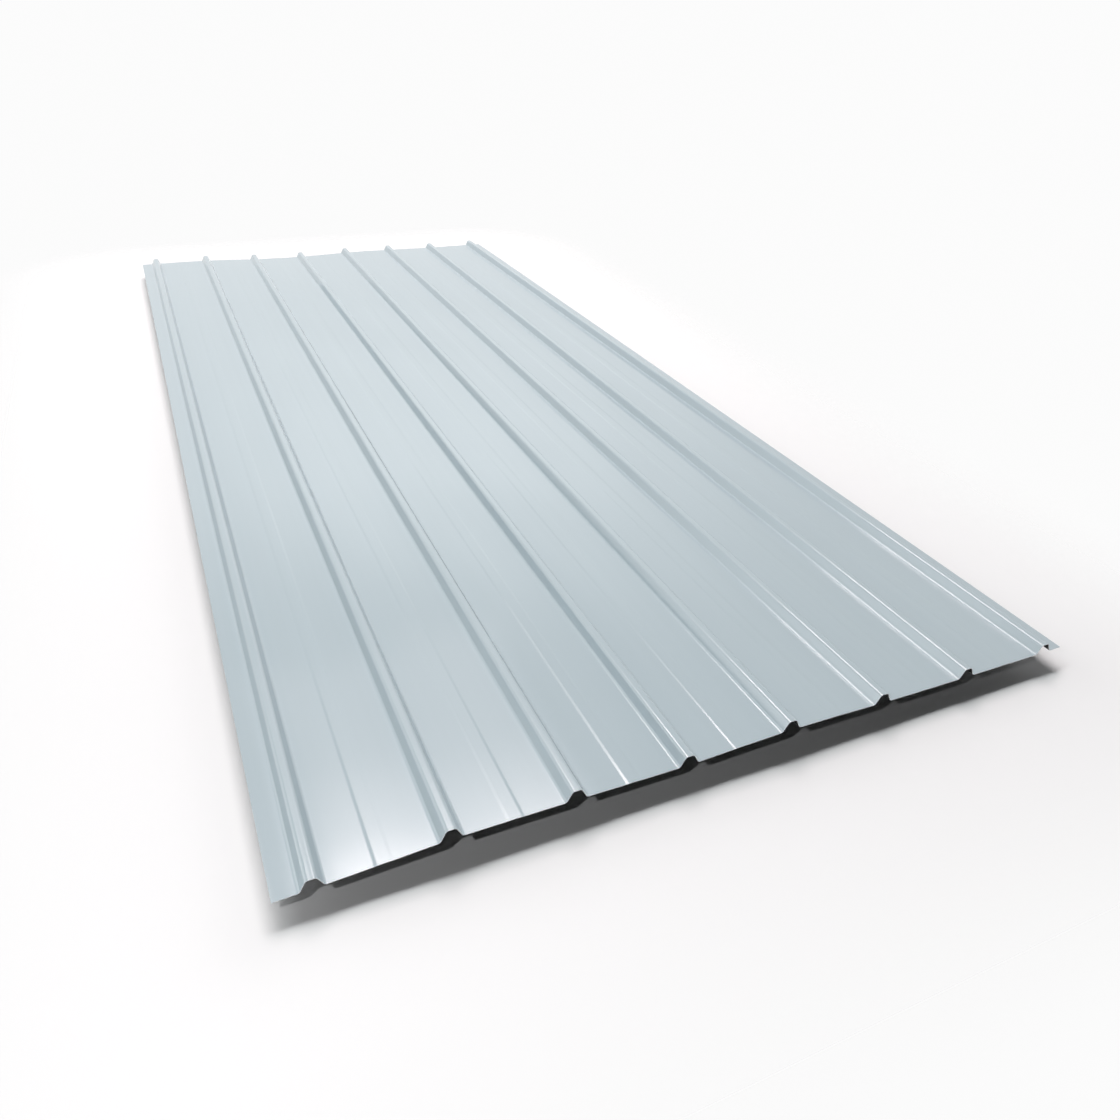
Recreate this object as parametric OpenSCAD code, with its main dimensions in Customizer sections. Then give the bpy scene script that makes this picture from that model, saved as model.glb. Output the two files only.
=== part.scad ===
// Ribbed roofing sheet of coated galvanized steel, roll-formed from one flat strip.
// The ribs run along Y and stand up along +Z. The sheet lies flat on the undersides of its pans,
// with the origin on the floor under its middle.

/* [Sheet] */
// Length of the sheet along its ribs
sheet_length = 2440; // [600:10:6000]
// Thickness of the steel with its coatings
steel_thickness = 0.5; // [0.3:0.05:1]

/* [Ribs] */
// Number of ribs across the sheet
rib_count = 8; // [2:1:12]
// Distance between the centres of two neighbouring ribs
rib_pitch = 145; // [90:1:250]
// Height of a rib's crown above the pan beside it
rib_height = 14.3; // [10:0.1:30]
// Width of a rib at its foot, where the lines of its walls meet the pan
rib_foot_width = 25.6; // [20:0.1:40]
// Width of a rib's crown, where the lines of its walls meet it
rib_crown_width = 11; // [8:0.1:16]
// Radius on the inside of every bend of a rib
bend_radius = 4.4; // [1:0.1:6]

/* [Pan stiffeners] */
// Width of the low band pressed up along the middle of each pan, with both its slopes
stiffener_width = 22; // [16:0.5:40]
// Width of one slope of the band
stiffener_slope = 5; // [1:0.5:7]
// Height of the band above the pan
stiffener_rise = 0.3; // [0.2:0.1:2]

/* [Side laps] */
// Distance from the first rib's centre to the left edge of the sheet
left_lap = 40; // [25:0.5:70]
// Distance from the last rib's centre to the right edge of the sheet
right_lap = 35; // [25:0.5:70]

/* [Hidden] */

// Flat steps that each bend is drawn in
bend_steps = 6;

// Places across the sheet
sheet_width = left_lap + (rib_count - 1) * rib_pitch + right_lap;
left_x = -sheet_width / 2;
right_x = sheet_width / 2;
first_rib_x = left_x + left_lap;

// Slope of a rib's walls
wall_run = (rib_foot_width - rib_crown_width) / 2;
wall_angle = atan2(rib_height, wall_run);

// Each bend has one centre, which its inner and outer faces share
outer_bend_radius = bend_radius + steel_thickness;
bend_setback = tan(wall_angle / 2);
foot_centre_x = rib_foot_width / 2 + bend_radius * bend_setback;
foot_centre_z = outer_bend_radius;
crown_centre_x = rib_crown_width / 2 - outer_bend_radius * bend_setback;
crown_centre_z = rib_height - bend_radius;

function rib_x(i) = first_rib_x + i * rib_pitch;
function pan_x(i) = rib_x(i) + rib_pitch / 2;

// Points along one bend, from one angle to another
function bend(x, z, radius, from, to) = [
    for (step = [0 : bend_steps])
    let (angle = from + (to - from) * step / bend_steps)
    [x + radius * cos(angle), z + radius * sin(angle)]
];

// One face of a rib, from its left foot over the crown to its right foot
function rib_face(x, foot_radius, crown_radius) = concat(
    bend(x - foot_centre_x, foot_centre_z, foot_radius, -90, wall_angle - 90),
    bend(x - crown_centre_x, crown_centre_z, crown_radius, wall_angle + 90, 90),
    bend(x + crown_centre_x, crown_centre_z, crown_radius, 90, 90 - wall_angle),
    bend(x + foot_centre_x, foot_centre_z, foot_radius, -wall_angle - 90, -90)
);

// One face of a pan's stiffener
function stiffener_face(x, z) = [
    [x - stiffener_width / 2, z],
    [x - stiffener_width / 2 + stiffener_slope, z + stiffener_rise],
    [x + stiffener_width / 2 - stiffener_slope, z + stiffener_rise],
    [x + stiffener_width / 2, z]
];

// One face of the whole sheet, from its left edge to its right edge
function sheet_face(z, foot_radius, crown_radius) = [
    [left_x, z],
    for (i = [0 : rib_count - 1])
        each concat(
            rib_face(rib_x(i), foot_radius, crown_radius),
            i < rib_count - 1 ? stiffener_face(pan_x(i), z) : []
        ),
    [right_x, z]
];

function reversed(points) = [for (i = [len(points) - 1 : -1 : 0]) points[i]];

// Section of the sheet: its upper face from left to right, and its underside back again
module sheet_section() {
    upper_face = sheet_face(steel_thickness, bend_radius, outer_bend_radius);
    underside = sheet_face(0, outer_bend_radius, bend_radius);
    polygon(concat(upper_face, reversed(underside)));
}

module ribbed_sheet() {
    color([0.67, 0.73, 0.76])
    rotate([90, 0, 0])
    linear_extrude(sheet_length, center = true)
    sheet_section();
}

ribbed_sheet();
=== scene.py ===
"""Looks of a ribbed roofing sheet of coated galvanized steel that lies flat over a pale floor."""
import math

import bpy
import numpy as np
from mathutils import Matrix, Vector


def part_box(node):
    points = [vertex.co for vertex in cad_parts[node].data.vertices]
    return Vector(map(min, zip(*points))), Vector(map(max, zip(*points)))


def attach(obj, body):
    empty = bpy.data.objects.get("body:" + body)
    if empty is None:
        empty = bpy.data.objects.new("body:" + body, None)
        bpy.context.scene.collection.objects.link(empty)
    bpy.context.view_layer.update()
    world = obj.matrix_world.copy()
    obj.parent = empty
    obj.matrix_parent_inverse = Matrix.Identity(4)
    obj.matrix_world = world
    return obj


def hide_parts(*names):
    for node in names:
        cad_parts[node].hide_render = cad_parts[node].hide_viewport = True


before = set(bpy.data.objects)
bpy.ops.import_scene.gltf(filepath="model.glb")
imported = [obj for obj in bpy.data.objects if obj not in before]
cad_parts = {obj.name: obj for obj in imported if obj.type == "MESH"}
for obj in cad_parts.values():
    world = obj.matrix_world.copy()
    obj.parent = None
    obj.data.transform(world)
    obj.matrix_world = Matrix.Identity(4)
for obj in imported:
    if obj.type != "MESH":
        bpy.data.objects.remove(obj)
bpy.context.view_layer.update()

# Sizes of the sheet, in metres
SHEET_LOW, SHEET_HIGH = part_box("ribbed_sheet")
STEEL = 0.0005
RIB_COUNT = 8
RIB_PITCH = 0.145
RIB_HEIGHT = SHEET_HIGH.z - STEEL
RIB_FOOT = 0.0256
RIB_CROWN = 0.011
BEND_RADIUS = 0.0044
STIFFENER_WIDTH = 0.022
STIFFENER_SLOPE = 0.005
STIFFENER_RISE = 0.0003
LEFT_LAP = 0.040
FIRST_RIB_X = SHEET_LOW.x + LEFT_LAP

# How finely the sheet is meshed
BEND_STEPS = 12
SLOPE_STEPS = 6
FLAT_STEPS = 4
LENGTH_STEPS = 64
SHARP_ANGLE = 40.0

# Heights off the flat that handling left in the left edge, each rib and the right edge at both ends
NEAR_LIFT = (-0.0034, -0.0021, 0.0055, 0.0042, 0.0019, 0.0065, 0.0020, -0.0001, -0.0009, -0.0008)
FAR_LIFT = (0.0030, 0.0035, 0.0035, -0.0020, -0.0040, 0.0000, 0.0000, -0.0018, -0.0010, -0.0010)
LIFT_FADE = 0.45

# Swell of the pans: its height, and the length, shift from pan to pan and share of its two waves
PAN_SWELL = 0.0004
PAN_SWELL_LENGTHS = (0.61, 0.37)
PAN_SWELL_SHIFTS = (2.1, 1.3)
PAN_SWELL_SHARES = (1.0, 0.6)

# Step to each side over which the slope of the waves is taken
SLOPE_PROBE = 0.0005

# Numbers of the sheet's materials
COATED = 0
ZINC = 1
SHEARED = 2

# Coating of the upper face, with roller streaks and a faint orange peel
COATING_COLOURS = ((0.388, 0.470, 0.508), (0.394, 0.477, 0.516))
COATING_ROUGHNESS = (0.105, 0.120)
COATING_IOR = 1.75
STREAK_SCALE = (90.0, 0.5, 90.0)
STREAK_DETAIL = 3.0
STREAK_STOPS = (0.30, 0.70)
PEEL_SCALE = (260.0, 200.0, 260.0)
PEEL_DETAIL = 1.0
PEEL_STRENGTH = 0.05
PEEL_DEPTH = 0.0001

# Zinc of the underside, in colours far darker than real zinc: painted shade that keeps the floor under
# the sheet dark
UNDERSIDE_COLOURS_DARKENED_AS_SHADE = ((0.15, 0.155, 0.16), (0.22, 0.225, 0.23))
ZINC_ROUGHNESS = (0.38, 0.50)
ZINC_STOPS = (0.0, 1.0)
SPANGLE_SCALE = 110.0

# Steel of the sheared edges
SHEARED_COLOURS = ((0.60, 0.61, 0.62), (0.74, 0.75, 0.76))
SHEARED_ROUGHNESS = (0.35, 0.50)
SHEAR_MARK_SCALE = (900.0, 900.0, 200.0)
SHEAR_MARK_DETAIL = 2.0
SHEAR_MARK_STOPS = (0.3, 0.7)

# Camera, in metres and degrees
CAMERA_AT = (-0.537, -1.822, 0.7564)
CAMERA_AZIMUTH = 25.555
CAMERA_DROP = 32.685
CAMERA_ROLL = 2.585
CAMERA_LENS = 28.437
CAMERA_SENSOR = 36.0
CAMERA_CLIP = 100.0

# Floor: how far under the sheet it lies, its half size, and how far from the sheet it fades out
FLOOR_GAP = 0.035
FLOOR_HALF = 4.0
FLOOR_FADE = (0.06, 0.45)
FLOOR_COLOUR = (0.905, 0.91, 0.915, 1.0)
FLOOR_ROUGHNESS = 0.9

# Height of the overhead softbox
SOFTBOX_Z = 6.0

# Key strip along the front of the softbox, which shiny faces don't mirror
KEY_LEFT = -6.00
KEY_RIGHT = 2.90
KEY_Y = (0.27, 1.12)
KEY_RADIANCE = 11.3
KEY_COLOUR = (0.97, 1.0, 1.0)

# Panel of strips behind the key: brightest before its middle, drawn in on the left, partly mirrored
PANEL_LEFT = (-2.70, -0.69)
PANEL_RIGHT = 2.60
PANEL_Y = (1.12, 6.70)
PANEL_STRIPS = 24
PANEL_DRAWN_IN = 0.32
PANEL_FALL = (0.0, 0.35, 0.39, 0.42, 0.48, 0.69, 1.0)
PANEL_RADIANCE = (6.0, 7.6, 8.9, 8.3, 2.7, 0.85, 0.6)
PANEL_COLOUR = (1.0, 0.90, 0.90)
PANEL_MIRRORED_FROM = 1.60

# Small fill in front of the near left corner, which shiny faces don't mirror
FILL_AT = (-0.75, -1.66, 0.83)
FILL_POWER = 6.6
FILL_RADIUS = 0.02

# Two plain levels, and the white that the camera sees behind the sheet
BLACK = (0.0, 0.0, 0.0)
WHITE = (1.0, 1.0, 1.0)
BACKGROUND_WHITE = 0.97

# Spans of direction, as parts of a unit vector, over which the surroundings change
HORIZON_TOP = (0.45, 0.70)
LEFT_SPAN = (-0.8, -0.1)
RIGHT_SPAN = (0.1, 0.8)

# What shiny faces mirror: a little brighter near the horizon, and brighter still at the back left
MIRRORED_LOW = 1.1
MIRRORED_HIGH = 0.92
MIRRORED_LEFT = 1.6
MIRRORED_LEFT_SPAN = (-0.9, -0.55)
MIRRORED_BACK_SPAN = (0.38, 0.50)

# Band across what they mirror: its heights, where its level changes from left to right, and its levels
BAND_RISE = (0.28, 0.46, 0.64)
BAND_LEFT = (-0.02, 0.16)
BAND_RIGHT = (0.3, 0.65)
BAND_LEVELS = (0.4, 0.85, -0.15)

# Soft light from the sides and the back
GLOW_LEFT = 1.7
GLOW_BACK = 0.15
GLOW_RIGHT = 1.7
GLOW_FRONT_SPAN = (-0.1, 0.3)
GLOW_OVERHEAD = 0.03


# Section of the sheet

def arc(x, z, radius, start, end):
    """Points along a bend, each with the direction from the bend's centre."""
    out = []
    for step in range(BEND_STEPS + 1):
        angle = math.radians(start + (end - start) * step / BEND_STEPS)
        across, up = math.cos(angle), math.sin(angle)
        out.append((x + radius * across, z + radius * up, across, up))
    return out


def rib_points(x):
    """Middle of the steel over one rib, from its left foot to its right foot, with upward normals."""
    run = (RIB_FOOT - RIB_CROWN) / 2
    wall = math.degrees(math.atan2(RIB_HEIGHT, run))
    setback = math.tan(math.radians(wall / 2))
    middle = BEND_RADIUS + STEEL / 2
    foot_x = RIB_FOOT / 2 + BEND_RADIUS * setback
    foot_z = BEND_RADIUS + STEEL
    crown_x = RIB_CROWN / 2 - (BEND_RADIUS + STEEL) * setback
    crown_z = RIB_HEIGHT - BEND_RADIUS
    left_foot = arc(x - foot_x, foot_z, middle, -90, wall - 90)
    left_crown = arc(x - crown_x, crown_z, middle, 90 + wall, 90)
    right_crown = arc(x + crown_x, crown_z, middle, 90, 90 - wall)
    right_foot = arc(x + foot_x, foot_z, middle, -90 - wall, -90)
    turned = [[(px, pz, -nx, -nz) for px, pz, nx, nz in bend] for bend in (left_foot, right_foot)]
    return turned[0] + left_crown + right_crown + turned[1]


def flat_points(start, end, steps):
    """Points inside a flat stretch, without its two ends."""
    return [(start + (end - start) * i / steps, STEEL / 2, 0.0, 1.0) for i in range(1, steps)]


def slope_points(start, end, low, high):
    """One slope of a stiffener, eased in and out."""
    out = []
    for step in range(SLOPE_STEPS + 1):
        share = step / SLOPE_STEPS
        eased = share * share * (3 - 2 * share)
        steep = 6 * share * (1 - share) * (high - low) / (end - start)
        scale = math.hypot(1.0, steep)
        z = STEEL / 2 + low + (high - low) * eased
        out.append((start + (end - start) * share, z, -steep / scale, 1.0 / scale))
    return out


def pan_points(left, right):
    """A pan between two ribs' feet: flat, stiffener, flat."""
    middle = (left + right) / 2
    outer = STIFFENER_WIDTH / 2
    inner = outer - STIFFENER_SLOPE
    up = slope_points(middle - outer, middle - inner, 0.0, STIFFENER_RISE)
    down = slope_points(middle + inner, middle + outer, STIFFENER_RISE, 0.0)
    before = flat_points(left, up[0][0], FLAT_STEPS)
    after = flat_points(down[-1][0], right, FLAT_STEPS)
    return before + up + down + after


def section_points():
    """Middle of the steel from the left edge to the right edge: x, z and the upward normal."""
    ribs = [rib_points(FIRST_RIB_X + i * RIB_PITCH) for i in range(RIB_COUNT)]
    out = [(SHEET_LOW.x, STEEL / 2, 0.0, 1.0)]
    out += flat_points(SHEET_LOW.x, ribs[0][0][0], FLAT_STEPS)
    for i, rib in enumerate(ribs):
        out += rib
        if i < RIB_COUNT - 1:
            out += pan_points(rib[-1][0], ribs[i + 1][0][0])
    out += flat_points(ribs[-1][-1][0], SHEET_HIGH.x, FLAT_STEPS)
    out.append((SHEET_HIGH.x, STEEL / 2, 0.0, 1.0))
    return np.array(out)


# Waviness

def end_lift(x, from_end, lifts):
    """Lift near one end: straight from one rib to the next, and fading away from the end."""
    ribs = FIRST_RIB_X + RIB_PITCH * np.arange(RIB_COUNT)
    at_end = np.interp(x, [SHEET_LOW.x, *ribs, SHEET_HIGH.x], lifts)
    return at_end * np.exp(-from_end / LIFT_FADE)


def waviness(x, y):
    """Height of the steel off the flat, over a grid of places."""
    lift = end_lift(x, y - SHEET_LOW.y, NEAR_LIFT) + end_lift(x, SHEET_HIGH.y - y, FAR_LIFT)
    across = np.sin(math.pi * (x - FIRST_RIB_X) / RIB_PITCH) ** 2
    pan = np.floor((x - FIRST_RIB_X) / RIB_PITCH)
    waves = zip(PAN_SWELL_LENGTHS, PAN_SWELL_SHIFTS, PAN_SWELL_SHARES)
    turns = 2 * math.pi * y
    along = sum(share * np.sin(turns / length + shift * pan) for length, shift, share in waves)
    inside = (pan >= 0) & (pan < RIB_COUNT - 1)
    return lift + PAN_SWELL * across * along * inside


# The sheet's mesh

def grid_faces(first, rows, columns, flipped):
    """Quads between the points of a grid that starts at one vertex number."""
    row, column = np.meshgrid(np.arange(rows - 1), np.arange(columns - 1), indexing="ij")
    corner = first + row * columns + column
    ahead = corner + columns
    quads = np.stack([corner, corner + 1, ahead + 1, ahead], axis=-1).reshape(-1, 4)
    return quads[:, ::-1] if flipped else quads


def edge_faces(upper, lower):
    """Quads that close the steel's thickness between two matching rows of vertex numbers."""
    upper, lower = np.asarray(upper), np.asarray(lower)
    return np.stack([upper[:-1], lower[:-1], lower[1:], upper[1:]], axis=-1)


def wavy_normals(section, x, y):
    """Upward normals of the wavy sheet over the grid."""
    step = SLOPE_PROBE
    slope_x = (waviness(x + step, y) - waviness(x - step, y)) / (2 * step)
    slope_y = (waviness(x, y + step) - waviness(x, y - step)) / (2 * step)
    across, up = section[:, 2][None, :], section[:, 3][None, :]
    parts = np.broadcast_arrays(across - up * slope_x, -up * slope_y, up)
    normals = np.stack(parts, axis=-1).reshape(-1, 3)
    return normals / np.linalg.norm(normals, axis=1, keepdims=True)


def sheet_faces(rows, columns):
    """Quads of the upper face, the underside and the four cut edges, and the material of each."""
    count = rows * columns
    numbers = np.arange(count).reshape(rows, columns)
    near, far = numbers[0], numbers[-1]
    left, right = numbers[:, 0], numbers[:, -1]
    faces = [
        grid_faces(0, rows, columns, False),
        grid_faces(count, rows, columns, True),
        edge_faces(near, near + count),
        edge_faces(far[::-1], far[::-1] + count),
        edge_faces(left[::-1], left[::-1] + count),
        edge_faces(right, right + count),
    ]
    finish = np.repeat([COATED, ZINC] + 4 * [SHEARED], [len(part) for part in faces])
    return np.concatenate(faces), finish


def sheet_mesh():
    """The whole sheet as one closed mesh, smooth apart from its cut edges."""
    section = section_points()
    stations = np.linspace(SHEET_LOW.y, SHEET_HIGH.y, LENGTH_STEPS + 1)
    x, y = np.meshgrid(section[:, 0], stations)
    z = section[:, 1][None, :] + waviness(x, y)
    side = STEEL / 2
    upper = np.stack([x + side * section[:, 2], y, z + side * section[:, 3]], axis=-1).reshape(-1, 3)
    under = np.stack([x - side * section[:, 2], y, z - side * section[:, 3]], axis=-1).reshape(-1, 3)
    faces, finish = sheet_faces(len(stations), len(section))
    mesh = bpy.data.meshes.new("ribbed_sheet_skin")
    mesh.from_pydata(np.concatenate([upper, under]).tolist(), [], faces.tolist())
    mesh.polygons.foreach_set("material_index", finish.astype(np.int32))
    mesh.polygons.foreach_set("use_smooth", np.ones(len(finish), dtype=bool))
    mesh.set_sharp_from_angle(angle=math.radians(SHARP_ANGLE))
    up = wavy_normals(section, x, y)
    corners = np.concatenate([up, -up])[faces.reshape(-1)]
    corners[np.repeat(finish == SHEARED, faces.shape[1])] = 0.0
    mesh.normals_split_custom_set(corners.tolist())
    mesh.update()
    return mesh


# Shader nodes

def new_material(name):
    """A material with its nodes, links and main shader."""
    material = bpy.data.materials.new(name)
    material.use_nodes = True
    tree = material.node_tree
    return material, tree.nodes, tree.links, tree.nodes["Principled BSDF"]


def noise(nodes, links, vector, detail):
    """Noise with a grain of one unit of the vector."""
    node = nodes.new("ShaderNodeTexNoise")
    node.inputs["Scale"].default_value = 1.0
    node.inputs["Detail"].default_value = detail
    links.new(vector, node.inputs["Vector"])
    return node.outputs["Fac"]


def stretched(nodes, links, scale):
    """Object coordinates, in metres, scaled apart along the three axes."""
    place = nodes.new("ShaderNodeTexCoord")
    mapping = nodes.new("ShaderNodeMapping")
    mapping.inputs["Scale"].default_value = scale
    links.new(place.outputs["Object"], mapping.inputs["Vector"])
    return mapping.outputs["Vector"]


def ramp(nodes, links, value, stops):
    """Colours blended between stops along a value."""
    node = nodes.new("ShaderNodeValToRGB")
    elements = node.color_ramp.elements
    for i, (at, colour) in enumerate(stops):
        element = elements[i] if i < 2 else elements.new(at)
        element.position = at
        element.color = (*colour, 1.0)
    links.new(value, node.inputs["Fac"])
    return node.outputs["Color"]


def spread(nodes, links, value, low, high):
    """A value from 0 to 1 spread from low to high."""
    node = nodes.new("ShaderNodeMapRange")
    node.inputs["To Min"].default_value = low
    node.inputs["To Max"].default_value = high
    links.new(value, node.inputs["Value"])
    return node.outputs["Result"]


def vector_math(nodes, links, operation, vector, other=None):
    """A vector, or two, put through one operation."""
    node = nodes.new("ShaderNodeVectorMath")
    node.operation = operation
    links.new(vector, node.inputs[0])
    if other is not None:
        node.inputs[1].default_value = other
    return node.outputs["Value" if operation == "LENGTH" else "Vector"]


def bump(nodes, links, height, strength, distance):
    """Normals that follow a fine height over the face."""
    node = nodes.new("ShaderNodeBump")
    node.inputs["Strength"].default_value = strength
    node.inputs["Distance"].default_value = distance
    links.new(height, node.inputs["Height"])
    return node.outputs["Normal"]


def eased_range(nodes, links, value, span, low, high):
    """A value eased from low to high as another one crosses a span."""
    node = nodes.new("ShaderNodeMapRange")
    node.interpolation_type = "SMOOTHSTEP"
    node.inputs["From Min"].default_value = span[0]
    node.inputs["From Max"].default_value = span[1]
    node.inputs["To Min"].default_value = low
    node.inputs["To Max"].default_value = high
    links.new(value, node.inputs["Value"])
    return node.outputs["Result"]


def join(nodes, links, operation, first, second):
    """Two values put through one operation."""
    node = nodes.new("ShaderNodeMath")
    node.operation = operation
    links.new(first, node.inputs[0])
    links.new(second, node.inputs[1])
    return node.outputs["Value"]


def pick(nodes, links, choice, first, second):
    """The first value where the choice is 0, the second where it is 1."""
    node = nodes.new("ShaderNodeMix")
    links.new(choice, node.inputs["Factor"])
    for value, socket in ((first, node.inputs["A"]), (second, node.inputs["B"])):
        if isinstance(value, float):
            socket.default_value = value
        else:
            links.new(value, socket)
    return node.outputs["Result"]


# Materials

def coated_material():
    """Semi-gloss pale blue-grey coil coating, with faint lengthwise roller streaks."""
    material, nodes, links, shader = new_material("coil_coating")
    streaks = noise(nodes, links, stretched(nodes, links, STREAK_SCALE), STREAK_DETAIL)
    colour = ramp(nodes, links, streaks, zip(STREAK_STOPS, COATING_COLOURS))
    links.new(colour, shader.inputs["Base Color"])
    links.new(spread(nodes, links, streaks, *COATING_ROUGHNESS), shader.inputs["Roughness"])
    peel = noise(nodes, links, stretched(nodes, links, PEEL_SCALE), PEEL_DETAIL)
    links.new(bump(nodes, links, peel, PEEL_STRENGTH, PEEL_DEPTH), shader.inputs["Normal"])
    shader.inputs["IOR"].default_value = COATING_IOR
    return material


def zinc_material():
    """Bare galvanized underside: dull zinc with a faint spangle, in colours far darker than real zinc:
    painted shade that keeps the floor under the sheet dark.
    """
    material, nodes, links, shader = new_material("zinc_back")
    place = nodes.new("ShaderNodeTexCoord")
    cells = nodes.new("ShaderNodeTexVoronoi")
    cells.inputs["Scale"].default_value = SPANGLE_SCALE
    links.new(place.outputs["Object"], cells.inputs["Vector"])
    grey = nodes.new("ShaderNodeSeparateColor")
    links.new(cells.outputs["Color"], grey.inputs["Color"])
    # Painted shade: these zinc colours are much darker than real zinc, so little light bounces under
    # the sheet
    colour = ramp(nodes, links, grey.outputs["Red"], zip(ZINC_STOPS, UNDERSIDE_COLOURS_DARKENED_AS_SHADE))
    links.new(colour, shader.inputs["Base Color"])
    roughness = spread(nodes, links, grey.outputs["Green"], *ZINC_ROUGHNESS)
    links.new(roughness, shader.inputs["Roughness"])
    shader.inputs["Metallic"].default_value = 1.0
    return material


def cut_material():
    """Sheared edge: bright steel with fine shear marks."""
    material, nodes, links, shader = new_material("sheared_edge")
    marks = noise(nodes, links, stretched(nodes, links, SHEAR_MARK_SCALE), SHEAR_MARK_DETAIL)
    colour = ramp(nodes, links, marks, zip(SHEAR_MARK_STOPS, SHEARED_COLOURS))
    links.new(colour, shader.inputs["Base Color"])
    links.new(spread(nodes, links, marks, *SHEARED_ROUGHNESS), shader.inputs["Roughness"])
    shader.inputs["Metallic"].default_value = 1.0
    return material


def build_sheet():
    """The dressed sheet, which stands for the solid one."""
    sheet = bpy.data.objects.new("ribbed_sheet_dressed", sheet_mesh())
    bpy.context.scene.collection.objects.link(sheet)
    for material in (coated_material(), zinc_material(), cut_material()):
        sheet.data.materials.append(material)
    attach(sheet, "root")
    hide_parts("ribbed_sheet")


# Stage

def build_floor():
    """Pale floor that fades into the white background a little way out from the sheet."""
    half = FLOOR_HALF
    points = [(-half, -half, 0.0), (half, -half, 0.0), (half, half, 0.0), (-half, half, 0.0)]
    mesh = bpy.data.meshes.new("floor")
    mesh.from_pydata(points, [], [(0, 1, 2, 3)])
    material, nodes, links, shader = new_material("pale_floor")
    shader.inputs["Base Color"].default_value = FLOOR_COLOUR
    shader.inputs["Roughness"].default_value = FLOOR_ROUGHNESS
    shader.inputs["Specular IOR Level"].default_value = 0.0
    place = nodes.new("ShaderNodeTexCoord")
    folded = vector_math(nodes, links, "ABSOLUTE", place.outputs["Object"])
    past = vector_math(nodes, links, "SUBTRACT", folded, (SHEET_HIGH.x, SHEET_HIGH.y, 0.0))
    outside = vector_math(nodes, links, "MAXIMUM", past, (0.0, 0.0, 0.0))
    distance = vector_math(nodes, links, "LENGTH", outside)
    links.new(eased_range(nodes, links, distance, FLOOR_FADE, 1.0, 0.0), shader.inputs["Alpha"])
    mesh.materials.append(material)
    floor = bpy.data.objects.new("floor", mesh)
    floor.location.z = -FLOOR_GAP
    bpy.context.scene.collection.objects.link(floor)


def build_strip(name, x_span, y_span, radiance, colour):
    """One soft strip overhead that faces straight down."""
    light = bpy.data.lights.new(name, "AREA")
    light.shape = "RECTANGLE"
    light.size, light.size_y = x_span[1] - x_span[0], y_span[1] - y_span[0]
    light.energy = radiance * math.pi * light.size * light.size_y
    light.color = colour
    strip = bpy.data.objects.new(name, light)
    strip.location = (sum(x_span) / 2, sum(y_span) / 2, SOFTBOX_Z)
    bpy.context.scene.collection.objects.link(strip)
    return strip


def build_softbox():
    """The key strip, kept out of reflections, and the panel, mirrored apart from its nearest strips."""
    key = build_strip("key_strip", (KEY_LEFT, KEY_RIGHT), KEY_Y, KEY_RADIANCE, KEY_COLOUR)
    key.visible_glossy = False
    edges = np.linspace(*PANEL_Y, PANEL_STRIPS + 1)
    for i in range(PANEL_STRIPS):
        share = (i + 0.5) / PANEL_STRIPS
        left = float(np.interp(share, (0.0, PANEL_DRAWN_IN), PANEL_LEFT))
        level = float(np.interp(share, PANEL_FALL, PANEL_RADIANCE))
        x_span = (left, PANEL_RIGHT)
        strip = build_strip(f"panel_strip_{i + 1}", x_span, edges[i:i + 2], level, PANEL_COLOUR)
        strip.visible_glossy = strip.location.y > PANEL_MIRRORED_FROM


def build_fill():
    """A small fill in front of the near left corner, which shiny faces don't mirror."""
    light = bpy.data.lights.new("front_fill", "POINT")
    light.energy = FILL_POWER
    light.shadow_soft_size = FILL_RADIUS
    fill = bpy.data.objects.new("front_fill", light)
    fill.location = FILL_AT
    fill.visible_glossy = False
    bpy.context.scene.collection.objects.link(fill)


def mirrored_level(nodes, links, x, y, z, low):
    """How bright the surroundings are in reflections, by direction."""
    band = ramp(nodes, links, z, zip(BAND_RISE, (BLACK, WHITE, BLACK)))
    at_left, at_middle, at_right = BAND_LEVELS
    rise = eased_range(nodes, links, x, BAND_LEFT, at_left, at_middle)
    fall = eased_range(nodes, links, x, BAND_RIGHT, 0.0, at_right - at_middle)
    band = join(nodes, links, "MULTIPLY", band, join(nodes, links, "ADD", rise, fall))
    left = eased_range(nodes, links, x, MIRRORED_LEFT_SPAN, MIRRORED_LEFT, 0.0)
    back = eased_range(nodes, links, y, MIRRORED_BACK_SPAN, 0.0, 1.0)
    left = join(nodes, links, "MULTIPLY", join(nodes, links, "MULTIPLY", left, back), low)
    level = eased_range(nodes, links, z, HORIZON_TOP, MIRRORED_LOW, MIRRORED_HIGH)
    return join(nodes, links, "ADD", join(nodes, links, "ADD", level, band), left)


def side_glow(nodes, links, x, y, low):
    """How bright the surroundings are as soft light, by direction."""
    from_left = eased_range(nodes, links, x, LEFT_SPAN, GLOW_LEFT, GLOW_BACK)
    from_right = eased_range(nodes, links, x, RIGHT_SPAN, 0.0, GLOW_RIGHT - GLOW_BACK)
    behind = eased_range(nodes, links, y, GLOW_FRONT_SPAN, 0.0, 1.0)
    glow = join(nodes, links, "ADD", from_left, from_right)
    return join(nodes, links, "MULTIPLY", join(nodes, links, "MULTIPLY", glow, behind), low)


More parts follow.
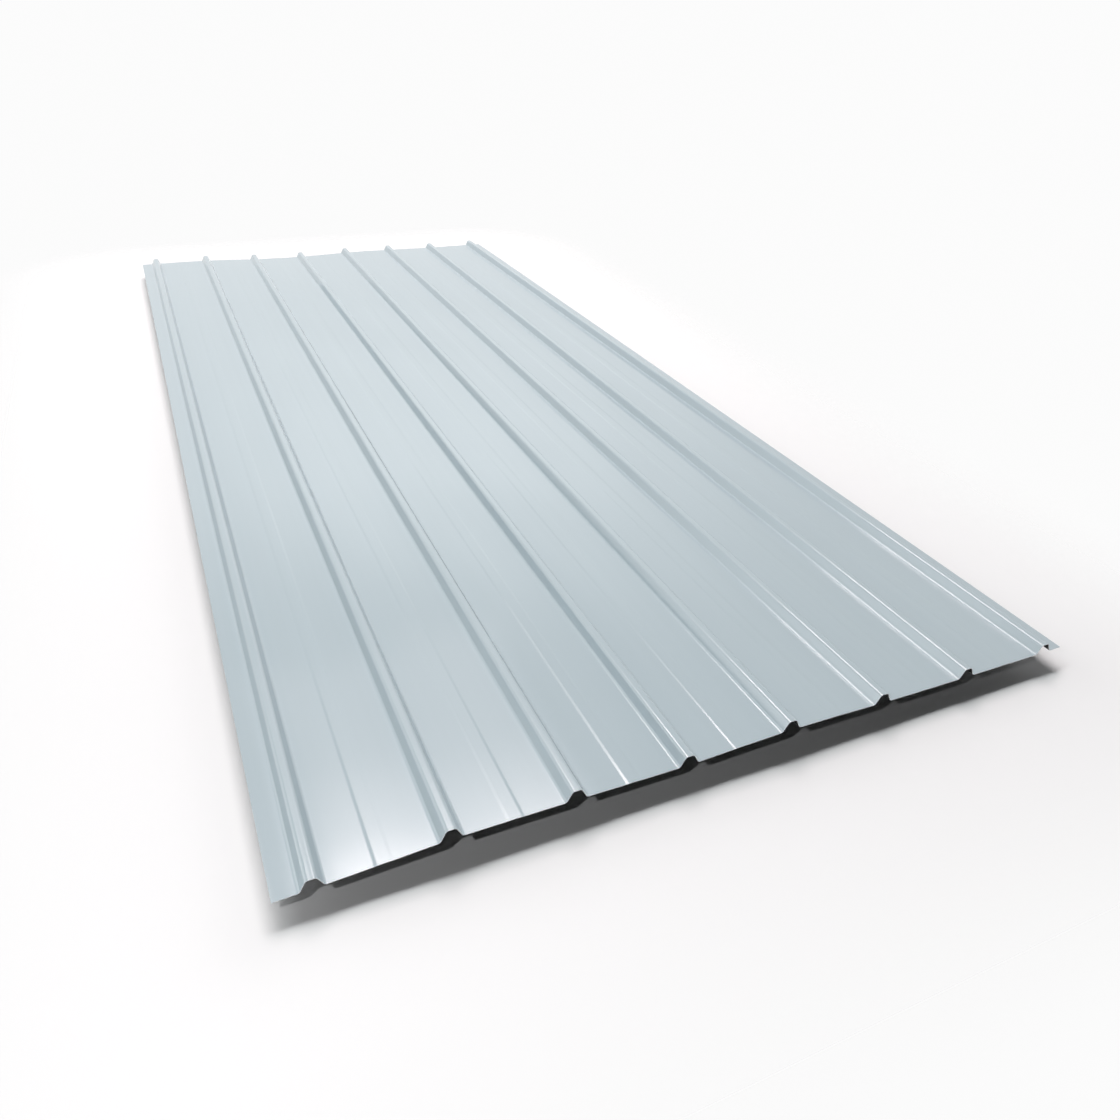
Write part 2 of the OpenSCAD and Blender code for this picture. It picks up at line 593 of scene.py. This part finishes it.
def build_world():
    """White to the camera, with levels of their own for reflections and for soft light."""
    world = bpy.data.worlds.new("studio")
    bpy.context.scene.world = world
    world.use_nodes = True
    nodes, links = world.node_tree.nodes, world.node_tree.links
    background = nodes["Background"]
    path = nodes.new("ShaderNodeLightPath")
    place = nodes.new("ShaderNodeTexCoord")
    split = nodes.new("ShaderNodeSeparateXYZ")
    links.new(place.outputs["Generated"], split.inputs["Vector"])
    x, y, z = (split.outputs[axis] for axis in "XYZ")
    low = eased_range(nodes, links, z, HORIZON_TOP, 1.0, GLOW_OVERHEAD)
    glow = side_glow(nodes, links, x, y, low)
    mirrored = mirrored_level(nodes, links, x, y, z, low)
    glossy, through = path.outputs["Is Glossy Ray"], path.outputs["Is Transmission Ray"]
    lit = pick(nodes, links, join(nodes, links, "MAXIMUM", glossy, through), glow, mirrored)
    seen = pick(nodes, links, path.outputs["Is Camera Ray"], lit, BACKGROUND_WHITE)
    background.inputs["Color"].default_value = (*WHITE, 1.0)
    links.new(seen, background.inputs["Strength"])


def build_camera():
    """Camera at the near left, looking down along the sheet and rolled a little."""
    azimuth, drop, roll = (math.radians(a) for a in (CAMERA_AZIMUTH, CAMERA_DROP, CAMERA_ROLL))
    level_part = math.cos(drop)
    forward = Vector((math.sin(azimuth) * level_part, math.cos(azimuth) * level_part, -math.sin(drop)))
    level = forward.cross(Vector((0, 0, 1))).normalized()
    upright = level.cross(forward)
    right = level * math.cos(roll) + upright * math.sin(roll)
    up = right.cross(forward)
    data = bpy.data.cameras.new("camera")
    data.lens = CAMERA_LENS
    data.sensor_width = CAMERA_SENSOR
    data.clip_end = CAMERA_CLIP
    camera = bpy.data.objects.new("camera", data)
    turn = Matrix((right, up, -forward)).transposed().to_4x4()
    camera.matrix_world = Matrix.Translation(CAMERA_AT) @ turn
    bpy.context.scene.collection.objects.link(camera)
    bpy.context.scene.camera = camera


build_sheet()
build_floor()
build_softbox()
build_fill()
build_world()
build_camera()
bpy.context.scene.view_settings.view_transform = "Standard"
